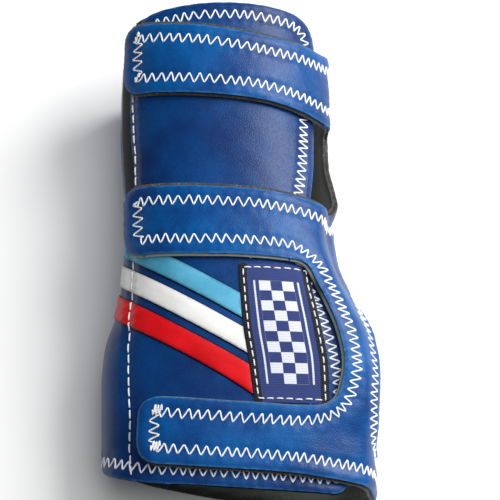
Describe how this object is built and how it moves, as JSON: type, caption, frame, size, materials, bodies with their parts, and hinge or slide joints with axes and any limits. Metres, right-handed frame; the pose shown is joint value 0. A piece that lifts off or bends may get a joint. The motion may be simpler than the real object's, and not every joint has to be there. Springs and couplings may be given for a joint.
{
  "type": "bowling glove",
  "caption": "Padded vinyl wrist support for the right hand, with a back panel, slanted stripes, a woven label and wrap-round straps.",
  "frame": {"origin": "middle of the flat palm side, on its outer face, halfway along the length", "axes": "+Z out of the back of the hand, +Y towards the forearm end, +X towards the thumb"},
  "size_m": [0.0934, 0.1674, 0.0565],
  "materials": {
    "black_foam": "matt closed-cell foam with a cloth face",
    "blue_vinyl": "fine-grained vinyl, soft sheen",
    "light_blue_vinyl": "smooth vinyl, soft sheen",
    "white_vinyl": "smooth vinyl, soft sheen",
    "red_vinyl": "smooth vinyl, soft sheen",
    "woven_navy": "woven label cloth",
    "grey_felt": "brushed felt",
    "blue_strap_vinyl": "fine-grained vinyl, soft sheen",
    "white_thread": "twisted polyester sewing thread",
    "black_thread": "merrowed edge thread"
  },
  "bodies": {
    "root": {"dorsal_pad": "black_foam", "dorsal_cover": "blue_vinyl", "stripe_light_blue": "light_blue_vinyl", "stripe_white": "white_vinyl", "stripe_red": "red_vinyl", "woven_label": "woven_navy", "wrap_lining": "grey_felt", "wrap_cover": "blue_strap_vinyl"}
  },
  "joints": []
}
